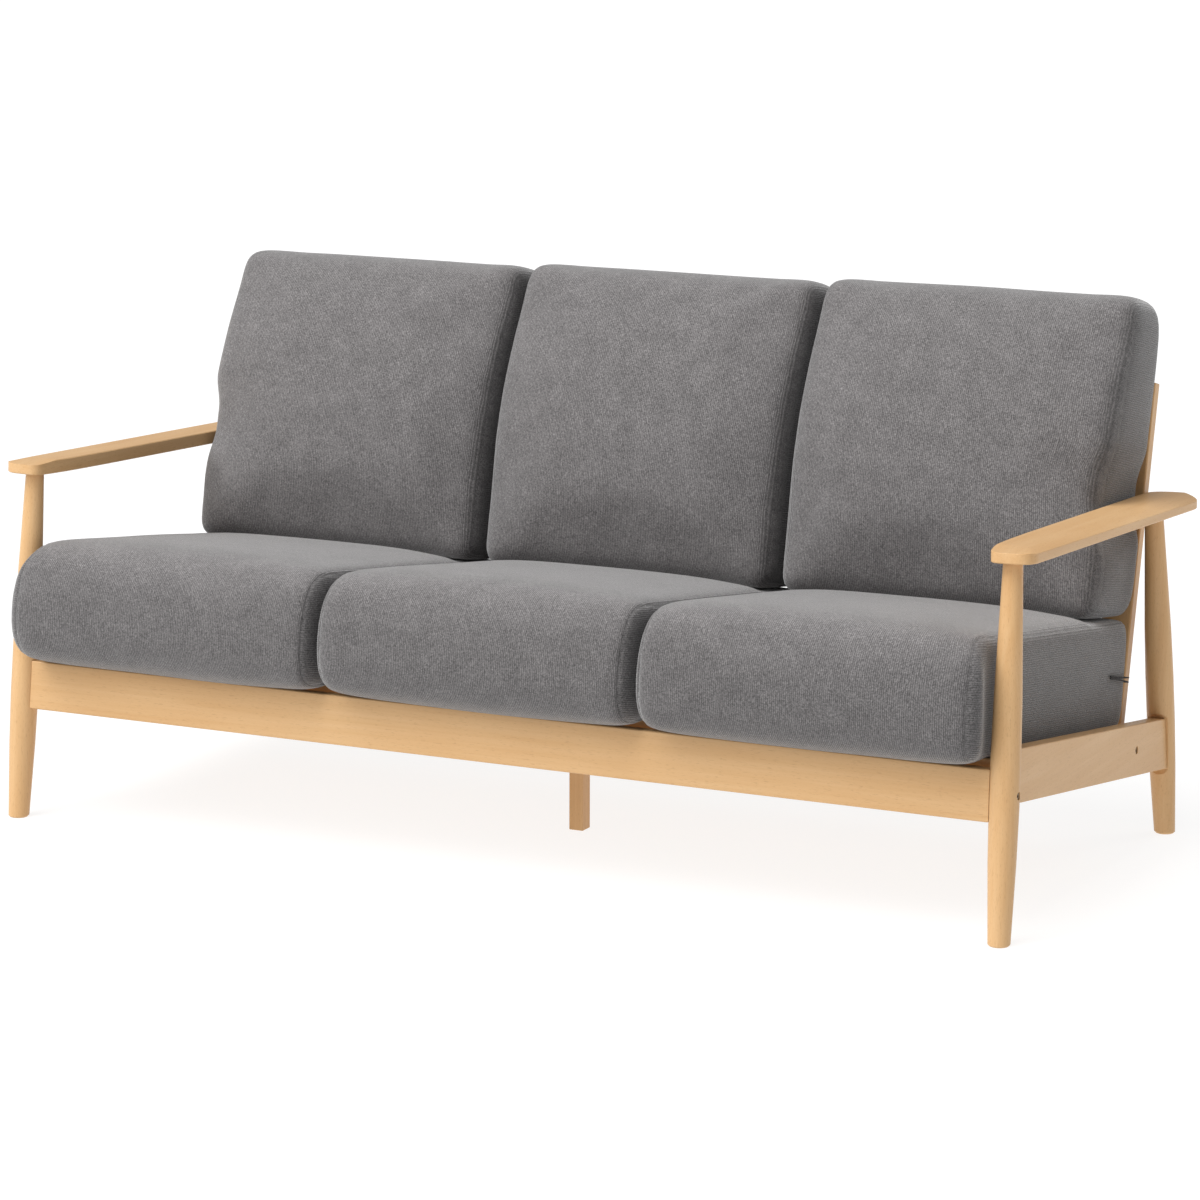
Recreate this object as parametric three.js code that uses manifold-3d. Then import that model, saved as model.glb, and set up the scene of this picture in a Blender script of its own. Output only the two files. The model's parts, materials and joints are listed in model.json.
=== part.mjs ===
// Three-seat sofa: a wooden frame on turned legs, with a raked slatted back and six loose cushions.
// Millimetres, +Z up, +X to the sitter's left, the sofa faces -Y, and it stands on z = 0.
import * as THREE from "three";
import { mergeVertices } from "three/addons/utils/BufferGeometryUtils.js";
import Module from "manifold-3d";

const wasm = await Module();
wasm.setup();

// Clearances
const fitGap = 0.3; // between pieces that touch
const cushionGap = 3; // between a cushion and whatever is beside it

// Side frames: two legs, a side rail and an armrest in one plane that leans inwards
const halfSpan = 860; // centre plane to the leg axes at the floor
const sideLean = THREE.MathUtils.degToRad(1.13);
const legSpacing = 752; // front to rear, at the floor
const frontRake = THREE.MathUtils.degToRad(5.4);
const rearRake = THREE.MathUtils.degToRad(7.3);
const footRadius = 17;
const bellyRadius = 22.8;
const neckRadius = 14.8;
const bellyHeight = 230;
const footChamfer = 2.5;
const tenonRadius = 10;
const tenonLength = 13;

// Armrests
const armTopHeight = 591; // of the top face, produced to the front feet
const armDrop = THREE.MathUtils.degToRad(2.45);
const armThickness = 22;
const armNose = 20; // front end, behind the front feet
const armTail = legSpacing + 26; // rear end
const noseInner = 28; // leg plane to the nose's inner side
const noseOuter = 42;
const noseCorner = 20; // round of the nose and of the inner rear corner; the outer front one is 1.5 times as large
const armInner = 37; // leg plane to the inner edge
const armOuter = 50; // leg plane to the outer edge at the rear
const noseBevel = { length: 50, drop: 6 };
const armChamfer = { width: 30, drop: 9 };

// Rails
const railThickness = 26;
const sideRailHeight = 82;
const frontRailHeight = 79;
const seatSetback = 15; // from a rear leg's axis forwards to the flat seat for its side rail
const seatRunout = 16; // round ends of that seat
const seatSpare = 3; // from the rail's edges to the round ends

// Seat deck: its own plane, which falls to the rear
const deckHeight = 275; // of the slats' top, produced to the front feet
const frontRailTop = deckHeight - 14.5;
const deckPitch = THREE.MathUtils.degToRad(7.77);
const deckBelowRail = 20;
const slatCount = 7;
const slat = { width: 55, thickness: 15 };
const ledge = { width: 20, height: 22 };
const beam = { width: 30, height: 45 };
const rearRailHeight = 60;
const rearRailPlace = legSpacing - 171; // along the deck
const firstSlatPlace = bellyRadius - 1.8; // its edge, behind the front legs' axes
const rearRailDrop = 1; // below the slats' top
const beamPlace = railThickness / 2 + 2.3; // its front end, behind the front legs' axes
const centreLeg = { width: 25, depth: 27, place: legSpacing / 2 - 33 };

// Back frame: its own raked plane, which starts just over the deck
const backFootRise = 4.65;
const backFootY = legSpacing - 95;
const backFootZ = deckHeight - backFootY * Math.tan(deckPitch) + backFootRise;
const backRake = THREE.MathUtils.degToRad(13.3);
const stile = { width: 50, thickness: 24, below: 58, above: 556 };
const backRailHeight = 60;
const lowerRailPlace = 4; // underside of the lower rail, along the back
const backSlatCount = 11;
const backSlat = { width: 35, thickness: 12, tenon: 10 };
const footRailSection = { thickness: 20, height: 58 };

// Cushions
const seatSide = halfSpan - bellyRadius - 10.2; // outer face: inside the legs where they lean in
const backSide = halfSpan - armInner - 14; // outer face: inside the armrests
const cushionEdge = 18; // round of the cushions' sides
const seatCushion = { front: -56, rear: backFootY - 5, height: 182, nose: 88, chin: 56, heel: 30 };
const backCushion = { bottom: seatCushion.height - 6, top: 663, rear: 1, foot: 228, head: 170, round: 46 };
const backBelly = { depth: 250, height: 420, footRound: 30 }; // the bowed front of a back cushion

// Bolts and ties
const bolt = { headRadius: 6, headHeight: 5, sink: 2, shankRadius: 3, length: 62, socketRadius: 2.9, socketDepth: 3 };
const tie = { radius: 1.25, height: 80, drop: 7, start: 128, bend: 42 };

const woodMaterial = new THREE.MeshStandardMaterial({ color: 0xdcb585, roughness: 0.42, metalness: 0 });
const fabricMaterial = new THREE.MeshStandardMaterial({ color: 0x716e6f, roughness: 0.95, metalness: 0 });
const boltMaterial = new THREE.MeshStandardMaterial({ color: 0x6b5a45, roughness: 0.4, metalness: 0.8 });
const elasticMaterial = new THREE.MeshStandardMaterial({ color: 0x141414, roughness: 0.8, metalness: 0 });

// ---------- shared shapes ----------

function toSolid(geometry) {
  const bare = new THREE.BufferGeometry();
  bare.setAttribute("position", geometry.getAttribute("position").clone());
  if (geometry.index) bare.setIndex(geometry.index.clone());
  const merged = mergeVertices(bare, 1e-3);
  return new wasm.Manifold(
    new wasm.Mesh({
      numProp: 3,
      vertProperties: new Float32Array(merged.attributes.position.array),
      triVerts: new Uint32Array(merged.index.array),
    }),
  );
}

function toGeometry(solid) {
  const mesh = solid.getMesh();
  const geometry = new THREE.BufferGeometry();
  geometry.setAttribute("position", new THREE.BufferAttribute(new Float32Array(mesh.vertProperties), 3));
  geometry.setIndex(new THREE.BufferAttribute(new Uint32Array(mesh.triVerts), 1));
  geometry.computeVertexNormals();
  return geometry;
}

// The first geometry with all the others cut away from it.
function cut(geometry, ...tools) {
  let solid = toSolid(geometry);
  for (const tool of tools) solid = solid.subtract(toSolid(tool));
  return toGeometry(solid);
}

function block(width, depth, height, x = 0, y = 0, z = 0) {
  return new THREE.BoxGeometry(width, depth, height).translate(x, y, z);
}

// A cylinder along X, centred at (y, z), from x0 to x1.
function bar(radius, x0, x1, y, z, sides = 20) {
  const geometry = new THREE.CylinderGeometry(radius, radius, x1 - x0, sides);
  return geometry.rotateZ(Math.PI / 2).translate((x0 + x1) / 2, y, z);
}

// A board with its long edges eased: width along X, thickness along Y, height along Z.
function board(width, thickness, height, ease = 2) {
  const w = width / 2;
  const t = thickness / 2;
  const shape = new THREE.Shape();
  shape.moveTo(-w + ease, -t);
  shape.lineTo(w - ease, -t);
  shape.quadraticCurveTo(w, -t, w, -t + ease);
  shape.lineTo(w, t - ease);
  shape.quadraticCurveTo(w, t, w - ease, t);
  shape.lineTo(-w + ease, t);
  shape.quadraticCurveTo(-w, t, -w, t - ease);
  shape.lineTo(-w, -t + ease);
  shape.quadraticCurveTo(-w, -t, -w + ease, -t);
  const options = { depth: height, bevelEnabled: false, curveSegments: 2 };
  return new THREE.ExtrudeGeometry(shape, options).translate(0, 0, -height / 2);
}

// An outline drawn in the YZ plane, extruded along X from -half to +half.
function extrudeAcross(shape, half, edge = 0) {
  const geometry = new THREE.ExtrudeGeometry(shape, {
    depth: 2 * (half - edge),
    bevelEnabled: edge > 0,
    bevelThickness: edge,
    bevelSize: edge,
    bevelOffset: -edge,
    bevelSegments: 3,
    curveSegments: 5,
  });
  geometry.translate(0, 0, edge - half);
  geometry.rotateY(Math.PI / 2);
  return geometry.rotateX(Math.PI / 2);
}

function mesh(name, geometry, material) {
  const made = new THREE.Mesh(geometry, material);
  made.name = name;
  return made;
}

// ---------- side frames ----------

const frontAxis = new THREE.Vector3(0, Math.sin(frontRake), Math.cos(frontRake));
const rearAxis = new THREE.Vector3(0, -Math.sin(rearRake), Math.cos(rearRake));

// Heights and places in the plane of a side frame
const frontLegY = (z) => z * Math.tan(frontRake);
const rearLegY = (z) => legSpacing - z * Math.tan(rearRake);
const armTopZ = (y) => armTopHeight - y * Math.tan(armDrop);
const deckZ = (y) => deckHeight - y * Math.tan(deckPitch);

// Where a raked leg meets the underside of its armrest, measured along the leg
function legLength(footY, axis) {
  const drop = Math.tan(armDrop);
  const underside = armTopHeight - armThickness / Math.cos(armDrop) - drop * footY;
  return underside / (axis.z + drop * axis.y) - fitGap;
}

const frontLength = legLength(0, frontAxis);
const rearLength = legLength(legSpacing, rearAxis);

// The spindle: thickest at the rails, slimmer at the foot, slimmest at the armrest.
function legRadius(along, length) {
  if (along < bellyHeight) {
    return footRadius + (bellyRadius - footRadius) * Math.sin((along / bellyHeight) * Math.PI / 2);
  }
  const share = (along - bellyHeight) / (length - bellyHeight);
  return neckRadius + (bellyRadius - neckRadius) * Math.cos((share * Math.PI) / 2);
}

// A turned leg along +Z, with its foot produced below the floor and its neck above the shoulder.
function turnedLeg(length, grow = 0) {
  const spare = 12;
  const steps = 14;
  const points = [new THREE.Vector2(0, -spare), new THREE.Vector2(footRadius + grow, -spare)];
  for (let i = 0; i <= steps; i++) {
    const along = (length * i) / steps;
    points.push(new THREE.Vector2(legRadius(along, length) + grow, along));
  }
  points.push(new THREE.Vector2(neckRadius + grow, length + spare));
  points.push(new THREE.Vector2(0, length + spare));
  return new THREE.LatheGeometry(points, 28).rotateX(Math.PI / 2);
}

// A leg with its shoulder cut to the underside of the armrest, and a tenon that goes up into it.
function shoulderedLeg(blank, length, place) {
  const underside = block(400, 3 * legSpacing, 60, 0, 0, 30 - armThickness - fitGap);
  underside.rotateX(-armDrop).translate(0, 0, armTopZ(0));
  const tenon = new THREE.CylinderGeometry(tenonRadius, tenonRadius, tenonLength + 15, 24).rotateX(Math.PI / 2);
  place(tenon.translate(0, 0, length + (tenonLength - 15) / 2));
  return toGeometry(toSolid(cut(blank, underside)).add(toSolid(tenon)));
}

// Everything below the floor, in the frame of a leaning side.
function belowFloor() {
  const depth = 200;
  return block(4 * depth, 3 * legSpacing, depth, 0, legSpacing / 2, -depth / 2).rotateY(sideLean);
}

// A ring that eases the edge of a foot.
function footEase(footY) {
  const points = [
    new THREE.Vector2(footRadius - footChamfer, -0.01),
    new THREE.Vector2(footRadius + 3 * footChamfer, -0.01),
    new THREE.Vector2(footRadius + 3 * footChamfer, 4 * footChamfer),
    new THREE.Vector2(footRadius - footChamfer, -0.01),
  ];
  return new THREE.LatheGeometry(points, 28).rotateX(Math.PI / 2).rotateY(sideLean).translate(0, footY, 0);
}

const placeFront = (geometry) => geometry.rotateX(-frontRake);
const placeRear = (geometry) => geometry.rotateX(rearRake).translate(0, legSpacing, 0);
const frontLegShape = (grow = 0) => placeFront(turnedLeg(frontLength, grow));
const rearLegShape = (grow = 0) => placeRear(turnedLeg(rearLength, grow));

// Height of a side rail's centre line, which follows the deck's slope
const railCentreZ = (y) => deckZ(y) + (deckBelowRail - sideRailHeight / 2) / Math.cos(deckPitch);

function sideRailBlank(grow = 0) {
  const start = frontLegY(deckHeight);
  const stop = rearLegY(railCentreZ(legSpacing));
  const middle = (start + stop) / 2;
  const length = (stop - start) / Math.cos(deckPitch) + 2 * grow;
  const blank = board(railThickness + 2 * grow, sideRailHeight + 2 * grow, length);
  return blank.rotateX(Math.PI / 2 - deckPitch).translate(0, middle, railCentreZ(middle));
}

// The flat seat in the front of a rear leg: flat over the rail's end, with a round run-out above and below.
function legSeat(reach) {
  const seatY = rearLegY(railCentreZ(legSpacing)) - seatSetback;
  const along = (seatY - legSpacing) * rearAxis.y + railCentreZ(seatY) * rearAxis.z;
  const half = sideRailHeight / 2 + seatSpare;
  const far = -4 * seatRunout;
  const bulge = new THREE.Vector2(-0.4 * seatRunout, half + 0.9 * seatRunout);
  const end = new THREE.Vector2(-2 * seatRunout, half + seatRunout);
  const shape = new THREE.Shape();
  shape.moveTo(0, -half);
  shape.quadraticCurveTo(bulge.x, -bulge.y, end.x, -end.y);
  shape.lineTo(far, -end.y);
  shape.lineTo(far, end.y);
  shape.lineTo(end.x, end.y);
  shape.quadraticCurveTo(bulge.x, bulge.y, 0, half);
  const tool = extrudeAcross(shape, reach);
  return placeRear(tool.translate(0, -seatSetback, along));
}

// Everything behind the seat plane of a rear leg, grown by the fit gap.
function behindLegSeat() {
  const size = 160;
  return placeRear(block(size, size, 3 * size, 0, size / 2 - seatSetback - fitGap, size));
}

// Bolt places: one through each front leg into the front rail, one through each side rail into the rear rail
const frontBoltZ = frontRailTop - 37;
const frontBoltY = frontLegY(frontBoltZ);
const rearBoltY = rearRailPlace * Math.cos(deckPitch) - (sideRailHeight / 2 - deckBelowRail) * Math.sin(deckPitch);
const rearBoltZ = railCentreZ(rearBoltY);
const frontBoltFace = legRadius(frontBoltZ / frontAxis.z, frontLength);
const rearBoltFace = railThickness / 2;

// The hole for a bolt whose head stands in from face; it runs inwards along -X.
function boltHole(face, y, z) {
  const shoulder = face - bolt.sink - bolt.headHeight - fitGap;
  const shank = bar(bolt.shankRadius + fitGap, shoulder - bolt.length - 2, shoulder + 1, y, z);
  return [bar(bolt.headRadius + fitGap, shoulder, face + 20, y, z), shank];
}

function boltShape(face, y, z) {
  const top = face - bolt.sink;
  const shoulder = top - bolt.headHeight;
  const head = toSolid(bar(bolt.headRadius, shoulder, top, y, z));
  const shank = toSolid(bar(bolt.shankRadius, shoulder - bolt.length, shoulder + 1, y, z));
  const socket = toSolid(bar(bolt.socketRadius, top - bolt.socketDepth, top + 1, y, z, 6));
  return toGeometry(head.add(shank).subtract(socket));
}

// A paddle that is narrow at the nose and widens to the rear, with round corners.
function armrestShape() {
  const length = (armTail - armNose) / Math.cos(armDrop);
  const corner = noseCorner;
  const outerCorner = 1.5 * noseCorner;
  const shape = new THREE.Shape();
  shape.moveTo(corner - noseInner, 0);
  shape.lineTo(noseOuter - outerCorner, 0);
  shape.quadraticCurveTo(noseOuter - 2, 0, noseOuter, outerCorner);
  shape.quadraticCurveTo(armOuter - 3, length * 0.4, armOuter, length - 2 * corner);
  shape.quadraticCurveTo(armOuter, length, armOuter - 2 * corner, length);
  shape.quadraticCurveTo(-armInner, length, -armInner, length - 2 * corner);
  shape.lineTo(-armInner, length * 0.3);
  shape.quadraticCurveTo(-armInner, 3 * corner, -noseInner, corner);
  shape.quadraticCurveTo(2 - noseInner, 0, corner - noseInner, 0);
  const ease = 1.5;
  const plank = new THREE.ExtrudeGeometry(shape, {
    depth: armThickness - 2 * ease,
    bevelThickness: ease,
    bevelSize: ease,
    bevelOffset: -ease,
    bevelSegments: 1,
    curveSegments: 8,
  });
  plank.translate(0, 0, ease - armThickness);

  const nose = block(200, 2 * noseBevel.length, 20, 0, 0, 10);
  nose.translate(0, -noseBevel.length, 0);
  nose.rotateX(Math.atan2(noseBevel.drop, noseBevel.length));
  nose.translate(0, noseBevel.length, 0);

  // The outer top edge is planed off, more widely towards the rear.
  const plane = planedOff(
    new THREE.Vector3(noseOuter, 0, -0.75 * armChamfer.drop),
    new THREE.Vector3(armOuter, length, -armChamfer.drop),
    new THREE.Vector3(armOuter - armChamfer.width, length, 0),
  );
  const arm = cut(plank, nose, plane).rotateX(-armDrop).translate(0, armNose, armTopZ(armNose));
  return cut(arm, placeFront(tenonHole(frontLength)), placeRear(tenonHole(rearLength)));
}

// A large block whose lower face lies through three points, for planing a face off.
function planedOff(a, b, c) {
  const size = 1600;
  const along = new THREE.Vector3().subVectors(b, a).normalize();
  const normal = new THREE.Vector3().subVectors(b, a).cross(new THREE.Vector3().subVectors(c, a)).normalize();
  const across = new THREE.Vector3().crossVectors(normal, along);
  const frame = new THREE.Matrix4().makeBasis(along, across, normal).setPosition(a);
  return block(size, size, 60, 0, 0, 30).applyMatrix4(frame);
}

// The blind hole that takes a leg's tenon, on the leg's own axis.
function tenonHole(length) {
  const depth = tenonLength + 1;
  const radius = tenonRadius + fitGap;
  const spare = 10;
  const hole = new THREE.CylinderGeometry(radius, radius, depth + spare, 24).rotateX(Math.PI / 2);
  return hole.translate(0, 0, length + (depth - spare) / 2);
}

function ledgeShape() {
  const start = frontLegY(deckHeight) + bellyRadius + 12;
  const stop = rearRailPlace * Math.cos(deckPitch) - railThickness / 2 - 8;
  const middle = (start + stop) / 2;
  const strip = board(ledge.width, ledge.height, (stop - start) / Math.cos(deckPitch), 1);
  const fall = slat.thickness + fitGap + ledge.height / 2;
  strip.rotateX(Math.PI / 2 - deckPitch);
  return strip.translate(-(railThickness + ledge.width) / 2 - fitGap, middle, deckZ(middle) - fall / Math.cos(deckPitch));
}

function sideFrame(side) {
  const group = new THREE.Group();
  const frontHoles = boltHole(frontBoltFace, frontBoltY, frontBoltZ);
  const rearHoles = boltHole(rearBoltFace, rearBoltY, rearBoltZ);
  const frontBlank = shoulderedLeg(frontLegShape(), frontLength, placeFront);
  const rearBlank = shoulderedLeg(rearLegShape(), rearLength, placeRear);
  const frontLeg = cut(frontBlank, belowFloor(), footEase(0), ...frontHoles);
  const rearLeg = cut(rearBlank, belowFloor(), footEase(legSpacing), legSeat(60));
  const rail = cut(sideRailBlank(), frontLegShape(fitGap), behindLegSeat(), ...rearHoles);
  group.add(mesh("front_leg_" + side, frontLeg, woodMaterial));
  group.add(mesh("rear_leg_" + side, rearLeg, woodMaterial));
  group.add(mesh("side_rail_" + side, rail, woodMaterial));
  group.add(mesh("armrest_" + side, armrestShape(), woodMaterial));
  group.add(mesh("seat_ledge_" + side, ledgeShape(), woodMaterial));
  group.add(mesh("front_rail_bolt_" + side, boltShape(frontBoltFace, frontBoltY, frontBoltZ), boltMaterial));
  group.add(mesh("rear_rail_bolt_" + side, boltShape(rearBoltFace, rearBoltY, rearBoltZ), boltMaterial));
  group.position.x = halfSpan;
  group.rotation.y = -sideLean;
  return group;
}

// ---------- front rail and seat deck ----------

// The inner face of a side rail, as a distance from the centre plane
const sideInner = (z) => halfSpan - z * Math.tan(sideLean) - railThickness / 2;

// A geometry made in the frame of a leaning side, brought into the sofa's frame on either side.
function leaned(geometry, hand) {
  geometry.rotateY(-sideLean).translate(halfSpan, 0, 0);
  if (hand > 0) return geometry;
  geometry.applyMatrix4(new THREE.Matrix4().makeScale(-1, 1, 1));
  const turned = geometry.index ? geometry.toNonIndexed() : geometry;
  const p = turned.getAttribute("position");
  for (let i = 0; i < p.count; i += 3) {
    const [x, y, z] = [p.getX(i + 1), p.getY(i + 1), p.getZ(i + 1)];
    p.setXYZ(i + 1, p.getX(i + 2), p.getY(i + 2), p.getZ(i + 2));
    p.setXYZ(i + 2, x, y, z);
  }
  return turned;
}

function boltHoles(face, y, z) {
  return [1, -1].flatMap((hand) => boltHole(face, y, z).map((hole) => leaned(hole, hand)));
}

function frontRail() {
  const middle = frontRailTop - frontRailHeight / 2;
  const length = 2 * (halfSpan - middle * Math.tan(sideLean));
  const blank = board(railThickness, frontRailHeight, length).rotateZ(Math.PI / 2).rotateY(Math.PI / 2);
  blank.rotateX(-frontRake).translate(0, frontLegY(middle), middle);
  const legs = [1, -1].map((hand) => leaned(frontLegShape(fitGap), hand));
  return mesh("front_rail", cut(blank, ...legs, ...boltHoles(frontBoltFace, frontBoltY, frontBoltZ)), woodMaterial);
}

// From here to the cushions, Y runs along the deck's slope and Z stands square to it
const deckFrame = new THREE.Matrix4().makeRotationX(-deckPitch).setPosition(0, 0, deckHeight);
const worldToDeck = deckFrame.clone().invert();
const beamTop = -slat.thickness - fitGap;
const slatStart = (frontLegY(deckHeight) + firstSlatPlace) / Math.cos(deckPitch);
const slatStop = rearRailPlace - railThickness / 2 - 4;

function deck() {
  const group = new THREE.Group();
  const slatHalf = sideInner(deckHeight) - cushionGap;
  const pitch = (slatStop - slatStart - slat.width) / (slatCount - 1);
  for (let i = 0; i < slatCount; i++) {
    const made = mesh("seat_slat_" + (i + 1), board(slat.width, slat.thickness, 2 * slatHalf, 1.5), woodMaterial);
    made.geometry.rotateZ(Math.PI / 2).rotateY(Math.PI / 2);
    made.position.set(0, slatStart + slat.width / 2 + i * pitch, -slat.thickness / 2);
    group.add(made);
  }
  const railHalf = sideInner(deckZ(rearRailPlace)) - fitGap - 0.2;
  const rear = board(railThickness, rearRailHeight, 2 * railHalf).rotateZ(Math.PI / 2).rotateY(Math.PI / 2);
  rear.translate(0, rearRailPlace, -rearRailDrop - rearRailHeight / 2);
  const holes = boltHoles(rearBoltFace, rearBoltY, rearBoltZ).map((hole) => hole.applyMatrix4(worldToDeck));
  group.add(mesh("rear_rail", cut(rear, ...holes), woodMaterial));

  const stop = rearRailPlace - railThickness / 2 - fitGap;
  const start = (frontLegY(deckHeight) + beamPlace) / Math.cos(deckPitch);
  const spar = block(beam.width, stop - start, beam.height, 0, (start + stop) / 2, beamTop - beam.height / 2);
  group.add(mesh("centre_beam", spar, woodMaterial));

  group.position.z = deckHeight;
  group.rotation.x = -deckPitch;
  return group;
}

// A square post under the beam, its top cut to the beam's slope.
function centrePost() {
  const tall = deckHeight;
  const post = block(centreLeg.width, centreLeg.depth, tall, 0, centreLeg.place, tall / 2);
  const above = block(200, 900, 300, 0, 300, beamTop - beam.height - fitGap + 150).applyMatrix4(deckFrame);
  return mesh("centre_leg", cut(post, above), woodMaterial);
}

// ---------- back frame ----------

// Here Y runs square to the back, with 0 at the front of the stiles, and Z up along it
function backFrame() {
  const group = new THREE.Group();
  const stileOuter = halfSpan - armTopHeight * Math.tan(sideLean) - armInner - fitGap;
  const stileInner = stileOuter - stile.width;
  const stileHeight = stile.above + stile.below;
  const stileMiddle = (stile.above - stile.below) / 2;
  for (const [side, hand] of [["left", -1], ["right", 1]]) {
    const upright = board(stile.width, stile.thickness, stileHeight, 3);
    upright.translate(hand * (stileOuter - stile.width / 2), stile.thickness / 2, stileMiddle);
    group.add(mesh("back_stile_" + side, upright, woodMaterial));
  }
  const railLength = 2 * (stileInner - fitGap);
  const upperPlace = stile.above - backRailHeight;
  const slatLength = upperPlace - lowerRailPlace - backRailHeight + 2 * backSlat.tenon;
  const slatMiddle = (upperPlace + lowerRailPlace + backRailHeight) / 2;
  const pitch = (2 * stileInner) / (backSlatCount + 1);
  const slatX = (i) => (i - (backSlatCount - 1) / 2) * pitch;
  const mortises = Array.from({ length: backSlatCount }, (_, i) =>
    block(
      backSlat.width + 2 * fitGap,
      backSlat.thickness + 2 * fitGap,
      slatLength + 2 * fitGap,
      slatX(i),
      stile.thickness / 2,
      slatMiddle,
    ),
  );
  for (const [name, place] of [["back_top_rail", upperPlace], ["back_lower_rail", lowerRailPlace]]) {
    const rail = board(stile.thickness, backRailHeight, railLength).rotateZ(Math.PI / 2).rotateY(Math.PI / 2);
    rail.translate(0, stile.thickness / 2, place + backRailHeight / 2);
    group.add(mesh(name, cut(rail, ...mortises), woodMaterial));
  }
  for (let i = 0; i < backSlatCount; i++) {
    const made = mesh("back_slat_" + (i + 1), board(backSlat.width, backSlat.thickness, slatLength), woodMaterial);
    made.position.set(slatX(i), stile.thickness / 2, slatMiddle);
    group.add(made);
  }
  group.add(footRail());
  for (const [side, hand] of [["left", -1], ["right", 1]]) group.add(cushionTie(side, hand, stileOuter, stileInner));
  group.position.set(0, backFootY, backFootZ);
  group.rotation.x = -backRake;
  return group;
}

// The rail behind the stiles' feet, let in between the rear legs and the side rails.
function footRail() {
  const backFrameMatrix = new THREE.Matrix4().makeRotationX(-backRake).setPosition(0, backFootY, backFootZ);
  const worldToBack = backFrameMatrix.invert();
  const { thickness, height } = footRailSection;
  const blank = board(thickness, height, 2 * halfSpan).rotateZ(Math.PI / 2).rotateY(Math.PI / 2);
  blank.translate(0, stile.thickness + fitGap + thickness / 2, height / 2 - stile.below);
  const trims = [1, -1].flatMap((hand) => {
    const outside = block(400, 2 * legSpacing, 2000, 200 - railThickness / 2 - fitGap, legSpacing / 2, 0);
    return [leaned(rearLegShape(fitGap), hand), leaned(outside, hand)];
  });
  return mesh("back_foot_rail", cut(blank, ...trims.map((trim) => trim.applyMatrix4(worldToBack))), woodMaterial);
}

// A thin elastic loop that holds a seat cushion's rear corner to its stile.
function cushionTie(side, hand, stileOuter, stileInner) {
  const out = tie.radius + 1;
  const beside = seatSide + out + 1;
  const turn = 10;
  const rear = stile.thickness + out + 1;
  const middle = tie.height - tie.drop / 2;
  const pinch = tie.radius + 0.2;
  const strand = (z) => [
    [beside, -tie.start, middle + Math.sign(z - middle) * pinch],
    [beside, -tie.start * 0.6, (z + middle) / 2],
    [beside, -tie.bend, z],
    [beside - 0.8 * turn, -2 * turn, z],
    [stileOuter - 1.4 * turn, -turn, z],
    [stileInner + turn, -out - 1, z],
    [stileInner - out - 1, -1, z],
    [stileInner - out - 1, stile.thickness + 1, z],
    [stileInner + turn, rear, z],
  ];
  const end = [stileInner + 1.7 * turn, rear, middle];
  const points = [...strand(tie.height), end, ...strand(tie.height - tie.drop).reverse()];
  const path = new THREE.CatmullRomCurve3(points.map(([x, y, z]) => new THREE.Vector3(hand * x, y, z)));
  const section = new THREE.Shape().absarc(0, 0, tie.radius, 0, 2 * Math.PI);
  const options = { steps: 44, extrudePath: path, curveSegments: 4, bevelEnabled: false };
  return mesh("cushion_tie_" + side, new THREE.ExtrudeGeometry(section, options), elasticMaterial);
}

// ---------- cushions ----------

// The side view of a seat cushion along the deck: a full round nose and a squarer heel.
function seatOutline() {
  const { front, rear, height, nose, chin, heel } = seatCushion;
  const shape = new THREE.Shape();
  shape.moveTo(front + chin, fitGap);
  shape.lineTo(rear - heel, fitGap);
  shape.quadraticCurveTo(rear, fitGap, rear, heel);
  shape.lineTo(rear, height - heel);
  shape.quadraticCurveTo(rear, height, rear - heel, height);
  shape.lineTo(front + nose, height);
  shape.quadraticCurveTo(front, height, front, (height + chin - nose) / 2);
  shape.quadraticCurveTo(front, fitGap, front + chin, fitGap);
  return shape;
}

// The side view of a back cushion: it stands on the seat and leans on the stiles.
function backOutline() {
  const { bottom, top, foot, head, round } = backCushion;
  const rear = -backCushion.rear;
  const shape = new THREE.Shape();
  shape.moveTo(rear - round, bottom);
  shape.quadraticCurveTo(rear, bottom, rear, bottom + round);
  shape.lineTo(rear, top - round);
  shape.quadraticCurveTo(rear, top, rear - round, top);
  shape.lineTo(-head + round, top);
  shape.quadraticCurveTo(-head, top, -head, top - round);
  shape.quadraticCurveTo(-backBelly.depth, backBelly.height, -foot, bottom + backBelly.footRound);
  shape.quadraticCurveTo(-foot, bottom, -foot + backBelly.footRound, bottom);
  shape.lineTo(rear - round, bottom);
  return shape;
}

function cushionRow(prefix, outline, side) {
  const group = new THREE.Group();
  const pitch = (2 * side + cushionGap) / 3;
  const names = ["left", "middle", "right"];
  names.forEach((name, i) => {
    const made = mesh(prefix + name, extrudeAcross(outline(), (pitch - cushionGap) / 2, cushionEdge), fabricMaterial);
    made.position.x = (i - 1) * pitch;
    group.add(made);
  });
  return group;
}

// ---------- assembly ----------

const sofa = new THREE.Group();
sofa.add(sideFrame("right"));
const leftSide = new THREE.Group();
leftSide.add(sideFrame("left"));
leftSide.scale.x = -1;
sofa.add(leftSide);
sofa.add(frontRail());
sofa.add(deck());
sofa.add(centrePost());
sofa.add(backFrame());

const seats = cushionRow("seat_cushion_", seatOutline, seatSide);
seats.position.z = deckHeight;
seats.rotation.x = -deckPitch;
sofa.add(seats);

const backs = cushionRow("back_cushion_", backOutline, backSide);
backs.position.set(0, backFootY, backFootZ);
backs.rotation.x = -backRake;
sofa.add(backs);

// The origin is under the middle of the whole sofa, on the floor.
const reach = new THREE.Box3().setFromObject(sofa, true);
sofa.position.y = -(reach.min.y + reach.max.y) / 2;

export default new THREE.Group().add(sofa);
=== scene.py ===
import bpy
import bmesh
import json
import math
import numpy as np
from mathutils import Matrix, Vector, noise


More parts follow.
